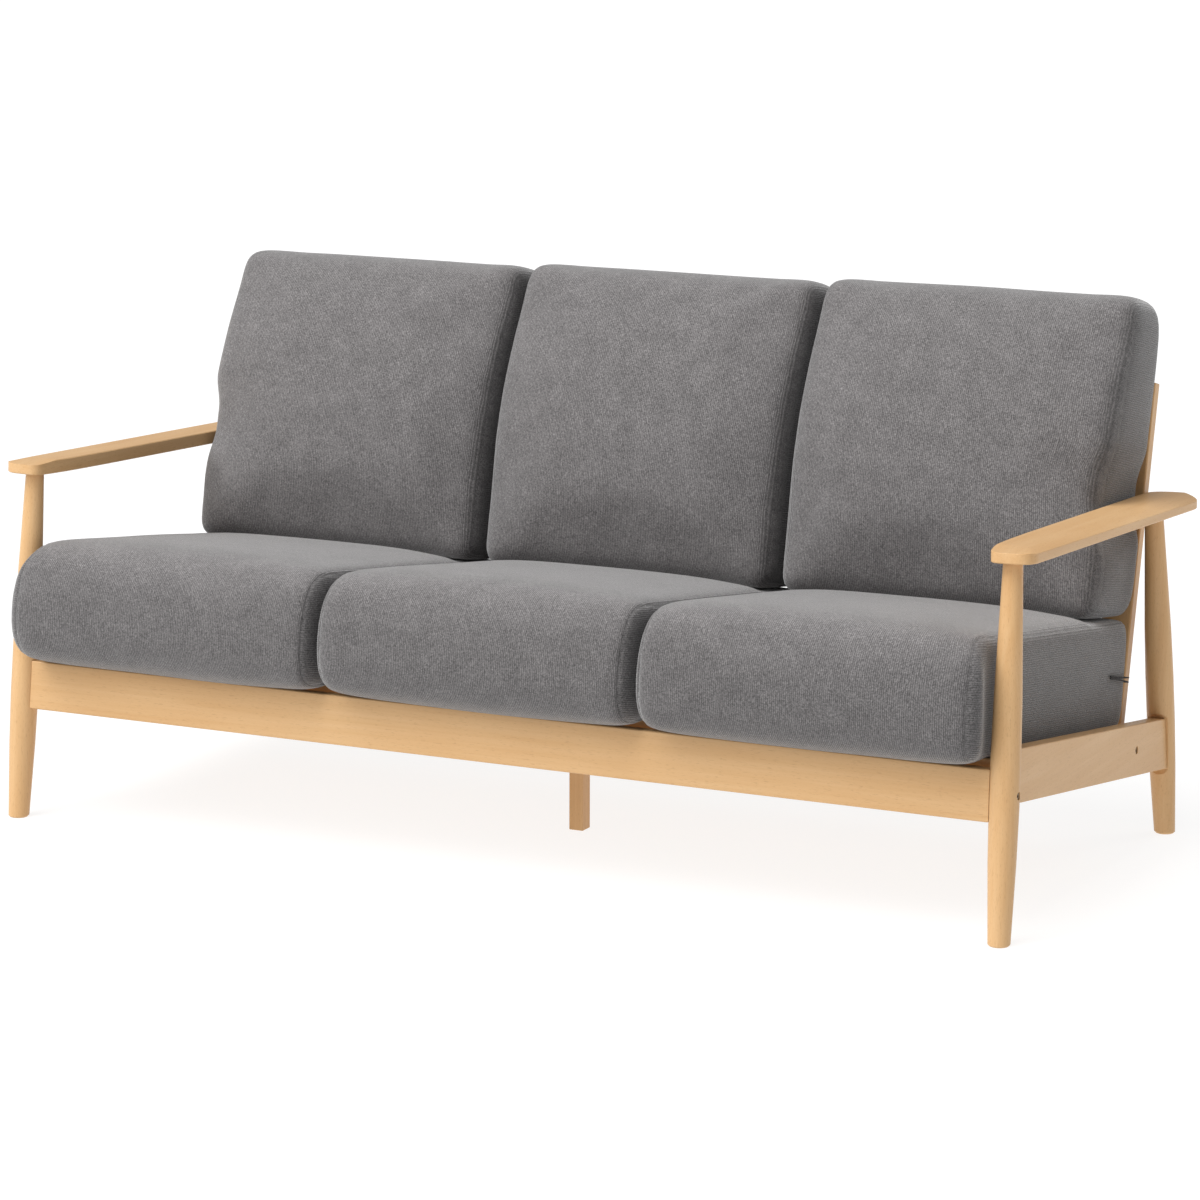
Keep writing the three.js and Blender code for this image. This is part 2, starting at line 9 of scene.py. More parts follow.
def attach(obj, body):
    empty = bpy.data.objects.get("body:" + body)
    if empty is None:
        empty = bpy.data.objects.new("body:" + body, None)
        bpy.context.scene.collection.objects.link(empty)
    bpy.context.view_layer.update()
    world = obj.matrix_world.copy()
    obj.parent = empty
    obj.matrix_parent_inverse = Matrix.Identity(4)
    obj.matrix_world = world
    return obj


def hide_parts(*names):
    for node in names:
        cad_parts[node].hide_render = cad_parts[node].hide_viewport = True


# Three-seat sofa: lacquered beech frame on turned legs, six loose chenille cushions. Metres throughout.
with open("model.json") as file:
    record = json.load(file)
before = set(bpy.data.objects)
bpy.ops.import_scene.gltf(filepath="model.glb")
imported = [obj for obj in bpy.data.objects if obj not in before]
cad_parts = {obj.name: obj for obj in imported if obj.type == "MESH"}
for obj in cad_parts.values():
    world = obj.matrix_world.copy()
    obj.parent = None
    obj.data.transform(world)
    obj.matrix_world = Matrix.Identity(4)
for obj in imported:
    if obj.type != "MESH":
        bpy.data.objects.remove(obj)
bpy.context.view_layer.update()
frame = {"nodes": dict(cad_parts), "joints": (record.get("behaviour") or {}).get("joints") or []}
nodes = frame["nodes"]
print("frame loaded with", len(nodes), "pieces")

cameraView = {
    "turn": 26.0858,  # degrees round the sofa
    "rise": 11.3209,
    "roll": 0.2028,
    "lens": 129.133,
    "distance": 6.8768,
    "aim": (0.0567, -0.0808, 0.3927),
}


def makeCamera():
    turn = math.radians(cameraView["turn"])
    rise = math.radians(cameraView["rise"])
    roll = math.radians(cameraView["roll"])
    back = Vector((math.sin(turn) * math.cos(rise), -math.cos(turn) * math.cos(rise), math.sin(rise)))
    right = Vector((math.cos(turn), math.sin(turn), 0))
    up = back.cross(right)
    acrossAxis = math.cos(roll) * right + math.sin(roll) * up
    upAxis = math.cos(roll) * up - math.sin(roll) * right
    place = Vector(cameraView["aim"]) + back * cameraView["distance"]
    data = bpy.data.cameras.new("studioCamera")
    data.lens = cameraView["lens"]
    data.clip_end = 100
    camera = bpy.data.objects.new("studioCamera", data)
    camera.matrix_world = Matrix((
        (acrossAxis.x, upAxis.x, back.x, place.x),
        (acrossAxis.y, upAxis.y, back.y, place.y),
        (acrossAxis.z, upAxis.z, back.z, place.z),
        (0, 0, 0, 1),
    ))
    bpy.context.scene.collection.objects.link(camera)
    bpy.context.scene.camera = camera


makeCamera()


class Wire:  # a node's output, which can be added to and multiplied as a number can
    def __init__(self, tree, out):
        self.tree = tree
        self.out = out

    def maths(self, operation, first, second=0.0):
        return addNode(self.tree, "ShaderNodeMath", {"operation": operation}, {0: first, 1: second})

    def __add__(self, other):
        return self.maths("ADD", self, other)

    def __radd__(self, other):
        return self.maths("ADD", other, self)

    def __sub__(self, other):
        return self.maths("SUBTRACT", self, other)

    def __rsub__(self, other):
        return self.maths("SUBTRACT", other, self)

    def __mul__(self, other):
        return self.maths("MULTIPLY", self, other)

    def __rmul__(self, other):
        return self.maths("MULTIPLY", other, self)


def addNode(tree, kind, settings=None, values=None, output=0):
    made = tree.nodes.new(kind)
    for name, value in (settings or {}).items():
        if name == "stops":
            for place, shade in value:
                stop = made.color_ramp.elements.new(place)
                stop.color = shade
            made.color_ramp.elements.remove(made.color_ramp.elements[0])
            made.color_ramp.elements.remove(made.color_ramp.elements[-1])
        else:
            setattr(made, name, value)
    for name, value in (values or {}).items():
        if isinstance(value, Wire):
            tree.links.new(value.out, made.inputs[name])
        else:
            made.inputs[name].default_value = value
    return Wire(tree, made.outputs[output])


def newMaterial(name):
    material = bpy.data.materials.new(name)
    material.use_nodes = True
    tree = material.node_tree
    return material, tree, tree.nodes["Principled BSDF"]


def feed(tree, shader, **wires):
    for name, wire in wires.items():
        tree.links.new(wire.out, shader.inputs[name.replace("_", " ")])


beech = {
    "pale": (0.685, 0.440, 0.222, 1),
    "deep": (0.61, 0.355, 0.155, 1),
    "fleck": (0.34, 0.165, 0.058, 1),
    "ringWidth": 0.017,
    "ringStretch": 24,  # how much longer than wide the figure is along the grain
    "lineWidth": 0.0034,
    "lineStretch": 72,
    "patchScale": 5.0,
    "figureShares": (0.5, 0.28, 0.22),  # of the rings, the lines and the patches
    "figureStops": (0.30, 0.66),
    "fleckWidth": 0.0011,
    "fleckStretch": 9,
    "fleckEdge": (0.60, 0.72),
    "fleckShare": 0.26,
    "bump": 0.10,
    "bumpDepth": 0.0006,
    "rough": 0.37,
    "roughSpread": 0.16,
    "coat": 0.16,
    "coatRough": 0.20,
    "specular": 0.24,
}


def makeBeech(name, grain, shift):
    material, tree, shader = newMaterial(name)
    place = addNode(tree, "ShaderNodeTexCoord", output="Object")

    def stretched(width, longer):
        scale = [1 / width] * 3
        scale["XYZ".index(grain)] = 1 / (width * longer)
        return addNode(tree, "ShaderNodeMapping", None, {"Vector": place, "Location": shift, "Scale": scale})

    rings = addNode(tree, "ShaderNodeTexNoise", None, {
        "Vector": stretched(beech["ringWidth"], beech["ringStretch"]),
        "Scale": 1.0, "Detail": 3.0, "Distortion": 0.5})
    lines = addNode(tree, "ShaderNodeTexNoise", None, {
        "Vector": stretched(beech["lineWidth"], beech["lineStretch"]), "Scale": 1.0, "Detail": 2.0})
    patches = addNode(tree, "ShaderNodeTexNoise", None, {
        "Vector": place, "Scale": beech["patchScale"], "Detail": 1.0})
    flecks = addNode(tree, "ShaderNodeTexNoise", None, {
        "Vector": stretched(beech["fleckWidth"], beech["fleckStretch"]), "Scale": 1.0, "Detail": 1.0})
    ringShare, lineShare, patchShare = beech["figureShares"]
    deepStop, paleStop = beech["figureStops"]
    stops = [(deepStop, beech["deep"]), (paleStop, beech["pale"])]
    figure = addNode(tree, "ShaderNodeValToRGB", {"stops": stops}, {
        "Fac": ringShare * rings + lineShare * lines + patchShare * patches})
    dashes = addNode(tree, "ShaderNodeMapRange", {"interpolation_type": "SMOOTHSTEP"}, {
        "Value": flecks, "From Min": beech["fleckEdge"][0], "From Max": beech["fleckEdge"][1]})
    colour = addNode(tree, "ShaderNodeMix", {"data_type": "RGBA"}, {
        "Factor": dashes * beech["fleckShare"], "A": figure, "B": beech["fleck"]}, output="Result")
    bump = addNode(tree, "ShaderNodeBump", None, {
        "Strength": beech["bump"], "Distance": beech["bumpDepth"], "Height": lines - 0.5 * dashes})
    roughness = beech["rough"] + beech["roughSpread"] * lines
    feed(tree, shader, Base_Color=colour, Roughness=roughness, Normal=bump)
    shader.inputs["Coat Weight"].default_value = beech["coat"]
    shader.inputs["Coat Roughness"].default_value = beech["coatRough"]
    shader.inputs["Specular IOR Level"].default_value = beech["specular"]
    return material


chenille = {
    "dark": (0.074, 0.070, 0.070, 1),
    "middle": (0.158, 0.150, 0.150, 1),
    "light": (0.320, 0.303, 0.303, 1),
    "seam": (0.045, 0.043, 0.043, 1),
    "stops": (0.38, 0.505, 0.66),  # where the dark, middle and light yarns begin
    "rib": 0.0032,  # pitch of the weave's ribs
    "ribSway": 2.4,
    "yarn": 0.0026,  # size of the mottled yarn ends
    "fuzz": 0.0008125,
    "strand": (0.0016, 0.010),  # width and length
    "cloudScale": 27.0,  # of the broad brushed patches
    "shares": {"yarn": 0.49, "fuzz": 0.20, "strands": 0.12, "rib": 0.09, "clouds": 0.11},
    "relief": {"yarn": 0.55, "rib": 0.50, "fuzz": 0.3, "strands": 0.25},
    "seamShade": 0.6,
    "bump": 0.55,
    "bumpDepth": 0.0016,
    "rough": 0.86,
    "roughSpread": 0.1,
    "sheen": 0.65,
    "sheenRough": 0.42,
    "specular": 0.2,
}


def makeChenille(name):
    material, tree, shader = newMaterial(name)
    place = addNode(tree, "ShaderNodeTexCoord", output="Object")
    weave = addNode(tree, "ShaderNodeUVMap", {"uv_map": "weave"})
    across = addNode(tree, "ShaderNodeSeparateXYZ", None, {0: weave}, output="X")
    yarn = addNode(tree, "ShaderNodeTexNoise", None, {
        "Vector": place, "Scale": 1 / chenille["yarn"], "Detail": 2.0, "Roughness": 0.75})
    fuzz = addNode(tree, "ShaderNodeTexNoise", None, {
        "Vector": place, "Scale": 1 / chenille["fuzz"], "Detail": 1.0})
    clouds = addNode(tree, "ShaderNodeTexNoise", None, {
        "Vector": place, "Scale": chenille["cloudScale"], "Detail": 4.0, "Roughness": 0.6})
    wide, long = chenille["strand"]
    stretched = addNode(tree, "ShaderNodeMapping", None, {"Vector": weave, "Scale": (1 / wide, 1 / long, 1)})
    strands = addNode(tree, "ShaderNodeTexNoise", {"noise_dimensions": "2D"}, {
        "Vector": stretched, "Scale": 1.0, "Detail": 1.0})
    wobble = addNode(tree, "ShaderNodeMath", {"operation": "SINE"}, {
        0: across * (2 * math.pi / chenille["rib"]) + chenille["ribSway"] * yarn})
    rib = 0.5 + 0.5 * wobble
    parts = {"yarn": yarn, "fuzz": fuzz, "strands": strands, "rib": rib, "clouds": clouds}
    mottle = sum(share * parts[name] for name, share in chenille["shares"].items())
    tones = (chenille["dark"], chenille["middle"], chenille["light"])
    stops = list(zip(chenille["stops"], tones))
    colour = addNode(tree, "ShaderNodeValToRGB", {"stops": stops}, {"Fac": mottle})
    seam = addNode(tree, "ShaderNodeAttribute", {"attribute_name": "seam"}, output="Fac")
    # The cloth colour is multiplied by painted light and shade: lighter where the cushion faces up, darker on
    # its sides and underside.
    facingShade = addNode(tree, "ShaderNodeAttribute", {"attribute_name": "facingShade"}, output="Fac")
    facingShadedColour = addNode(tree, "ShaderNodeMix", {"data_type": "RGBA", "blend_type": "MULTIPLY"}, {
        "Factor": 1.0, "A": colour, "B": facingShade}, output="Result")
    shaded = addNode(tree, "ShaderNodeMix", {"data_type": "RGBA"}, {
        "Factor": seam * chenille["seamShade"], "A": facingShadedColour, "B": chenille["seam"]}, output="Result")
    relief = sum(share * parts[name] for name, share in chenille["relief"].items())
    bump = addNode(tree, "ShaderNodeBump", None, {
        "Strength": chenille["bump"], "Distance": chenille["bumpDepth"], "Height": relief})
    roughness = chenille["rough"] + chenille["roughSpread"] * fuzz
    feed(tree, shader, Base_Color=shaded, Roughness=roughness, Normal=bump)
    shader.inputs["Sheen Weight"].default_value = chenille["sheen"]
    shader.inputs["Sheen Roughness"].default_value = chenille["sheenRough"]
    shader.inputs["Specular IOR Level"].default_value = chenille["specular"]
    return material


bronze = {
    "dull": (0.20, 0.135, 0.075, 1),
    "bright": (0.42, 0.30, 0.18, 1),
    "stops": (0.35, 0.70),
    "wearScale": 420.0,
    "rough": 0.26,
    "roughSpread": 0.3,
    "metallic": 0.85,
}


def makeSteel():
    material, tree, shader = newMaterial("bronzedSteel")
    place = addNode(tree, "ShaderNodeTexCoord", output="Object")
    wear = addNode(tree, "ShaderNodeTexNoise", None, {
        "Vector": place, "Scale": bronze["wearScale"], "Detail": 3.0})
    stops = list(zip(bronze["stops"], (bronze["dull"], bronze["bright"])))
    colour = addNode(tree, "ShaderNodeValToRGB", {"stops": stops}, {"Fac": wear})
    feed(tree, shader, Base_Color=colour, Roughness=bronze["rough"] + bronze["roughSpread"] * wear)
    shader.inputs["Metallic"].default_value = bronze["metallic"]
    return material


cord = {
    "thread": (0.030, 0.030, 0.032, 1),
    "gap": (0.006, 0.006, 0.007, 1),
    "stops": (0.1, 0.8),
    "braidScale": 900.0,
    "bump": 0.6,
    "bumpDepth": 0.0004,
    "rough": 0.62,
    "roughSpread": 0.2,
}


def makeElastic():
    material, tree, shader = newMaterial("blackElastic")
    place = addNode(tree, "ShaderNodeTexCoord", output="Object")
    braid = addNode(tree, "ShaderNodeTexVoronoi", None, {"Vector": place, "Scale": cord["braidScale"]})
    stops = list(zip(cord["stops"], (cord["thread"], cord["gap"])))
    colour = addNode(tree, "ShaderNodeValToRGB", {"stops": stops}, {"Fac": braid})
    bump = addNode(tree, "ShaderNodeBump", None, {
        "Strength": cord["bump"], "Distance": cord["bumpDepth"], "Height": 1 - braid})
    feed(tree, shader, Base_Color=colour, Roughness=cord["rough"] + cord["roughSpread"] * braid, Normal=bump)
    return material


chenilleCloth = makeChenille("greyChenille")
steel = makeSteel()
elastic = makeElastic()
print("finishes made")


weldReach = 0.00002  # points nearer than this are one point
woodEdge = {"reach": 0.0013, "segments": 2, "sharpAngle": 38, "flatAngle": 0.6, "creaseAngle": 50}
boardShift = (7.3, 3.1, 5.7)  # from one kind of board's figure to the next


def dressWood(nodeName, material):
    # A merged copy of the piece with its sharp edges eased and its curves smooth.
    form = bmesh.new()
    form.from_mesh(nodes[nodeName].data)
    bmesh.ops.remove_doubles(form, verts=form.verts, dist=weldReach)
    flat = math.radians(woodEdge["flatAngle"])
    bmesh.ops.dissolve_limit(form, angle_limit=flat, verts=form.verts, edges=form.edges)
    limit = math.radians(woodEdge["sharpAngle"])
    sharp = [e for e in form.edges if len(e.link_faces) == 2 and e.calc_face_angle(0) > limit]
    bmesh.ops.bevel(
        form, geom=sharp, offset=woodEdge["reach"], offset_type="OFFSET", segments=woodEdge["segments"],
        profile=0.5, affect="EDGES", material=-1, clamp_overlap=True)
    bmesh.ops.triangulate(form, faces=[f for f in form.faces if len(f.verts) > 4])
    data = bpy.data.meshes.new(nodeName + "_beech")
    form.to_mesh(data)
    form.free()
    data.shade_smooth()
    data.set_sharp_from_angle(angle=math.radians(woodEdge["creaseAngle"]))
    data.materials.append(material)
    piece = bpy.data.objects.new(nodeName + "_beech", data)
    bpy.context.scene.collection.objects.link(piece)
    shading = piece.modifiers.new("flatFaces", "WEIGHTED_NORMAL")
    shading.keep_sharp = True
    shading.weight = 100
    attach(piece, "frame")
    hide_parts(nodeName)
    return piece


grainOf = {
    "front_leg": "Z", "rear_leg": "Z", "back_stile": "Z", "back_slat": "Z", "centre_leg": "Z",
    "side_rail": "Y", "armrest": "Y", "seat_ledge": "Y", "centre_beam": "Y",
    "front_rail": "X", "rear_rail": "X", "back_top_rail": "X", "back_lower_rail": "X",
    "back_foot_rail": "X", "seat_slat": "X",
}


def dressFrame():
    boards = {}
    for number, (stem, grain) in enumerate(sorted(grainOf.items())):
        shift = [number * step for step in boardShift]
        boards[stem] = makeBeech("beech_" + stem, grain, shift)
    count = 0
    for nodeName in sorted(nodes):
        stem = next((s for s in grainOf if nodeName == s or nodeName.startswith(s + "_")), None)
        if stem and "bolt" not in nodeName:
            dressWood(nodeName, boards[stem])
            count += 1
    for nodeName, node in nodes.items():
        if "bolt" in nodeName or "tie" in nodeName:
            node.data.materials.clear()
            node.data.materials.append(steel if "bolt" in nodeName else elastic)
    print("beech pieces:", count)


dressFrame()


cushionRows = {
    "seat": {
        "voxel": 0.0075, "soften": 26, "slack": 0.002, "cap": 0.024, "pressure": 4.0, "hold": 0.016,
        "crown": 0.022, "front": 0.018, "rear": 0.0,
        "seamFront": 0.006, "seamRest": -0.003, "seamOuter": 0.008, "seamShow": 1.0, "fill": 0.8, "folds": 0.10,
        "swell": (0.015, 0.0, 0.022, 0.022),  # front, rear, foot and top, past the block
        # painted light and shade by facing: each number scales the cloth colour on faces turned that way
        "facingShade": {"side": 0.60, "front": 0.76, "rear": 0.76, "top": 1.22, "under": 0.70},
    },
    "back": {
        "voxel": 0.0075, "soften": 32, "slack": 0.002, "cap": 0.024, "pressure": 4.0, "hold": 0.014,
        "crown": 0.014, "front": 0.020, "rear": 0.022, "below": 0.03,
        "seamFront": -0.045, "seamRest": -0.010, "seamOuter": 0.0, "seamShow": 0.25, "fill": 0.7, "folds": 0.10,
        "swell": (0.014, 0.018, 0.024, 0.010),
        # painted light and shade by facing: each number scales the cloth colour on faces turned that way
        "facingShade": {"side": 0.54, "front": 0.97, "rear": 0.85, "top": 1.05, "under": 0.70},
    },
}
chinSag = {"overRail": 0.009, "railEnd": 0.100, "before": 0.012, "railStart": 0.068, "fade": 0.035}
cushionEdge = 0.018  # the ease round each side of the CAD cushion
edgeSlack = 0.0004  # how near that edge a point of the side view lies
seamTurn = {"start": 0.12, "length": 0.08}  # where a seam moves from its front place to its rear place
taller = {"back_cushion_middle": 0.006, "back_cushion_right": 0.013}  # no two are stuffed quite alike
flaring = {"below": 0.015, "above": 0.013, "armPlace": 0.175, "armHeight": 0.03, "fade": 0.06}
sinking = {"gap": 0.0015, "zone": 0.17, "knee": 0.004}  # how a back cushion's foot meets the seats
seamLook = {
    "width": 0.0020, "depth": 0.0016, "slant": 0.85,
    "pucker": 0.0005, "puckerPitch": 0.017, "puckerReach": 0.012, "puckerStep": 5.3,
}
sideRoom = {  # how far the outer cushions may stand from the middle of the sofa
    "seatLeg": 0.8285, "seatFree": 0.8450, "seatBulge": 0.016, "legPinch": 0.8,
    "legPlace": -0.3498, "legReach": 0.050,
    "armLow": 0.530, "armHigh": 0.585, "backArm": 0.8095, "backBelow": 0.8340, "backAbove": 0.8310,
    "armFade": 0.075,
    "between": 0.0011,  # past each CAD side where two cushions meet
}
seatRoof = {"stop": 0.530, "fade": 0.050, "rise": 0.0002}  # the crown ends in front of the back cushions
stileTop = {"height": 0.745, "fade": 0.05}  # above it a back cushion swells to the rear
knee = {"side": 0.006, "top": 0.010, "under": 0.004}  # how softly a cushion flattens against its limits
unevenness = {"scale": 6, "height": 0.0015, "step": 3.7}


def rowAxes(name):
    # Across, depth and height of a cushion's own frame, from the line it slides along.
    joint = next(j for j in frame["joints"] if j["child"] == name)
    axis = Vector(joint["axis"])
    across = Vector((1, 0, 0))
    if name.startswith("seat"):
        return np.array([across, -axis, across.cross(-axis)])
    return np.array([across, axis.cross(across), axis])


def outlineOf(places, low, high):
    # The side view's corner points, in order round the middle.
    half = (high[0] - low[0]) / 2
    offset = np.abs(np.abs(places[:, 0] - (low[0] + high[0]) / 2) - (half - cushionEdge))
    points = np.unique(np.round(places[offset < edgeSlack][:, 1:], 5), axis=0)
    middle = points.mean(0)
    order = np.argsort(np.arctan2(points[:, 1] - middle[1], points[:, 0] - middle[0]))
    return points[order]


def nearestOutline(places, outline):
    # Distance to the outline and the length run round it, for each place.
    start = outline
    step = np.roll(outline, -1, axis=0) - outline
    lengths = np.hypot(step[:, 0], step[:, 1])
    before = np.concatenate([[0], np.cumsum(lengths)[:-1]])
    best = np.full(len(places), 1e9)
    run = np.zeros(len(places))
    for i in range(len(outline)):
        share = np.clip(((places - start[i]) @ step[i]) / max(lengths[i] ** 2, 1e-12), 0, 1)
        gap = places - start[i] - share[:, None] * step[i]
        distance = np.hypot(gap[:, 0], gap[:, 1])
        closer = distance < best
        best[closer] = distance[closer]
        run[closer] = before[i] + share[closer] * lengths[i]
    return best, run, lengths.sum()


def easeStep(share):
    share = np.clip(share, 0, 1)
    return share * share * (3 - 2 * share)


def handOf(name):
    return {"left": -1, "middle": 0, "right": 1}[name.split("_")[-1]]


def seamOffset(pad, rest):
    # Signed distance from the seam between the main and a side panel, and the run round the side view.
    row, low, high = pad["row"], pad["low"], pad["high"]
    inset, run, around = nearestOutline(rest[:, 1:], pad["outline"])
    fromSide = (high[0] - low[0]) / 2 - np.abs(rest[:, 0] - (low[0] + high[0]) / 2)
    front = easeStep((seamTurn["start"] - (rest[:, 1] - low[1])) / seamTurn["length"])
    outerSide = (rest[:, 0] - (low[0] + high[0]) / 2) * handOf(pad["name"]) > 0
    frontSeam = row["seamFront"] + row["seamOuter"] * outerSide
    offset = fromSide - inset - row["seamRest"] - (frontSeam - row["seamRest"]) * front
    return offset, run, around


def softLimit(value, limit, knee):
    over = np.maximum(value - (limit - knee), 0)
    return np.where(over > 0, limit - knee * np.exp(-over / knee), value)


def meshPlaces(data):
    places = np.zeros(len(data.vertices) * 3)
    data.vertices.foreach_get("co", places)
    return places.reshape(-1, 3)


def appliedMesh(piece):
    graph = bpy.context.evaluated_depsgraph_get()
    return bpy.data.meshes.new_from_object(piece.evaluated_get(graph))


def flare(places, low, high, hand):
    # The outer back cushions widen below the armrests, and a little above them.
    middle = (low[0] + high[0]) / 2
    half = (high[0] - low[0]) / 2
    share = np.clip(hand * (places[:, 0] - middle) / half, 0, 1) ** 2
    z = places[:, 2] - low[2]
    out = flaring["below"] * easeStep((flaring["armPlace"] - z) / flaring["fade"])
    out = out + flaring["above"] * easeStep((z - flaring["armPlace"] - flaring["armHeight"]) / flaring["fade"])
    places = places.copy()
    places[:, 0] += hand * share * out
    return places


def startPad(name, row):
    # A fine, softened copy of the cushion's block in its own frame, a little smaller than the block.
    axes = rowAxes(name)
    form = bmesh.new()
    form.from_mesh(nodes[name].data)
    bmesh.ops.remove_doubles(form, verts=form.verts, dist=weldReach)
    bmesh.ops.transform(form, matrix=Matrix(axes.tolist()).to_4x4(), verts=form.verts)
    data = bpy.data.meshes.new(name + "_block")
    form.to_mesh(data)
    form.free()
    places = meshPlaces(data)
    low, high = places.min(0), places.max(0)
    block = bpy.data.objects.new(name + "_block", data)
    bpy.context.scene.collection.objects.link(block)
    grid = block.modifiers.new("grid", "REMESH")
    grid.mode = "VOXEL"
    grid.voxel_size = row["voxel"]
    fine = appliedMesh(block)
    bpy.data.objects.remove(block)
    rest = meshPlaces(fine)
    form = bmesh.new()
    form.from_mesh(fine)
    for _ in range(row["soften"]):
        bmesh.ops.smooth_vert(
            form, verts=form.verts, factor=0.5, use_axis_x=True, use_axis_y=True, use_axis_z=True)
    middle = (low + high) / 2
    soft = np.array([v.co for v in form.verts])
    size = soft.max(0) - soft.min(0)
    scale = (high - low - 2 * row["slack"]) / size
    soft = middle + (soft - middle) * scale
    if name.startswith("back"):
        soft = flare(soft, low, high, handOf(name))
    form.to_mesh(fine)
    form.free()
    fine.vertices.foreach_set("co", soft.ravel())
    kept = fine.attributes.new("restPlace", "FLOAT_VECTOR", "POINT")
    kept.data.foreach_set("vector", rest.ravel().astype(np.float32))
    fine.update()
    pad = bpy.data.objects.new(name + "_pad", fine)
    bpy.context.scene.collection.objects.link(pad)
    made = {"name": name, "row": row, "axes": axes, "low": low, "high": high, "pad": pad,
            "start": soft, "outline": outlineOf(places, low, high)}
    offset = seamOffset(made, rest)[0]
    held = pad.vertex_groups.new(name="held")
    for i, weight in enumerate(np.exp(-((offset / row["hold"]) ** 2))):
        if weight > swelling["leastHold"]:
            held.add([i], float(weight), "REPLACE")
    return made


swelling = {
    "frames": 20, "quality": 4, "mass": 0.3, "stretch": 6, "shear": 3, "bend": 3,
    "leastHold": 0.02,  # a weaker hold by a seam than this is none
    "evenRounds": 60,
}


def inflate(pads):
    # All the cushions swell together, with no gravity, and then stop being cloth.
    scene = bpy.context.scene
    scene.frame_start = 1
    scene.frame_end = swelling["frames"]
    for pad in pads:
        cloth = pad["pad"].modifiers.new("swell", "CLOTH")
        cloth.settings.quality = swelling["quality"]
        cloth.settings.mass = swelling["mass"]
        cloth.settings.use_pressure = True
        cloth.settings.uniform_pressure_force = pad["row"]["pressure"]
        cloth.settings.effector_weights.gravity = 0
        cloth.settings.vertex_group_mass = "held"
        cloth.settings.tension_stiffness = swelling["stretch"]
        cloth.settings.compression_stiffness = swelling["stretch"]
        cloth.settings.shear_stiffness = swelling["shear"]
        cloth.settings.bending_stiffness = swelling["bend"]
        cloth.collision_settings.use_collision = False
        cloth.collision_settings.use_self_collision = False
        cloth.point_cache.frame_start = 1
        cloth.point_cache.frame_end = swelling["frames"]
    for step in range(1, swelling["frames"] + 1):
        scene.frame_set(step)
    for pad in pads:
        swollen = meshPlaces(appliedMesh(pad["pad"]))
        pad["pad"].modifiers.clear()
        move = swollen - pad["start"]
        reach = np.maximum(np.linalg.norm(move, axis=1), 1e-9)
        cap = pad["row"]["cap"]
        move = move * (softLimit(reach, cap, cap / 2) / reach)[:, None]
        broad = smoothField(pad["pad"].data, move, swelling["evenRounds"])
        pad["move"] = broad + pad["row"]["folds"] * (move - broad)
    scene.frame_set(1)


def smoothField(data, field, rounds):
    # Evens a movement out over neighbouring points.
    links = np.zeros(2 * len(data.edges), np.int32)
    data.edges.foreach_get("vertices", links)
    one, two = links[0::2], links[1::2]
    count = len(field)
    shares = np.bincount(one, minlength=count) + np.bincount(two, minlength=count)
    keep = 0.4
    for _ in range(rounds):
        total = np.stack([
            np.bincount(one, field[two, k], count) + np.bincount(two, field[one, k], count)
            for k in range(field.shape[1])], 1)
        field = keep * field + (1 - keep) * total / shares[:, None]
    return field


def fillOut(places, low, high, swell, extra):
    # Stretches a cushion so that it reaches past its block by the given swell.
    front, rear, foot, top = swell
    top += extra
    least, most = places.min(0), places.max(0)
    wanted = [(1, low[1] - front, high[1] + rear), (2, low[2] - foot, high[2] + top)]
    for k, start, stop in wanted:
        places[:, k] = start + (places[:, k] - least[k]) * (stop - start) / (most[k] - least[k])
    return places


def fitPad(pad, places):
    # Keeps a swollen cushion off its neighbours, the slats, the arms and the stiles.
    row, low, high, name = pad["row"], pad["low"], pad["high"], pad["name"]
    kind, hand = name.split("_")[0], handOf(name)
    half = (high[0] - low[0]) / 2
    x = places[:, 0] - (low[0] + high[0]) / 2
    y = places[:, 1] - low[1]
    z = places[:, 2] - low[2]
    depth, height = high[1] - low[1], high[2] - low[2]
    world = places @ pad["axes"]
    inner = half + sideRoom["between"]
    if kind == "seat":
        room = np.exp(-(((world[:, 1] - sideRoom["legPlace"]) / sideRoom["legReach"]) ** 4))
        room = np.where(world[:, 1] > sideRoom["legPlace"], 1, room)
        outer = sideRoom["seatFree"] - (sideRoom["seatFree"] - sideRoom["seatLeg"]) * room
        outward = np.clip(hand * x / half, 0, 1) ** 3
        x = x + hand * outward * sideRoom["seatBulge"] * (1 - sideRoom["legPinch"] * room)
        roof = height + row["crown"] * easeStep((seatRoof["stop"] - y) / seatRoof["fade"]) + seatRoof["rise"]
        floor = chinSag["overRail"] * easeStep((chinSag["railEnd"] - y) / chinSag["fade"])
        floor = floor + chinSag["before"] * easeStep((chinSag["railStart"] - y) / chinSag["fade"])
    else:
        outer = np.where(world[:, 2] < (sideRoom["armLow"] + sideRoom["armHigh"]) / 2,
                         sideRoom["backBelow"], sideRoom["backAbove"])
        below = (sideRoom["armLow"] - world[:, 2]) / sideRoom["armFade"]
        above = (world[:, 2] - sideRoom["armHigh"]) / sideRoom["armFade"]
        free = easeStep(np.maximum(below, above))
        outer = sideRoom["backArm"] + (outer - sideRoom["backArm"]) * free
        roof = height + row["crown"] + taller.get(name, 0)
        floor = row["below"]
    outer = outer - abs((low[0] + high[0]) / 2)
    right = outer if hand > 0 else inner
    left = outer if hand < 0 else inner
    x = softLimit(x, right, knee["side"])
    x = -softLimit(-x, left, knee["side"])
    z = softLimit(z, roof, knee["top"])
    if kind == "back":
        z = settle(pad, y, z)
    z = -softLimit(-z, floor, knee["under"])
    if kind == "seat":
        behind = np.full(len(y), depth + row["rear"])
    else:
        behind = depth + row["rear"] * np.clip((world[:, 2] - stileTop["height"]) / stileTop["fade"], 0, 1)
    y = softLimit(y, behind, knee["side"])
    y = -softLimit(-y, row["front"], knee["side"])
    return np.stack([x + (low[0] + high[0]) / 2, y + low[1], z + low[2]], 1)


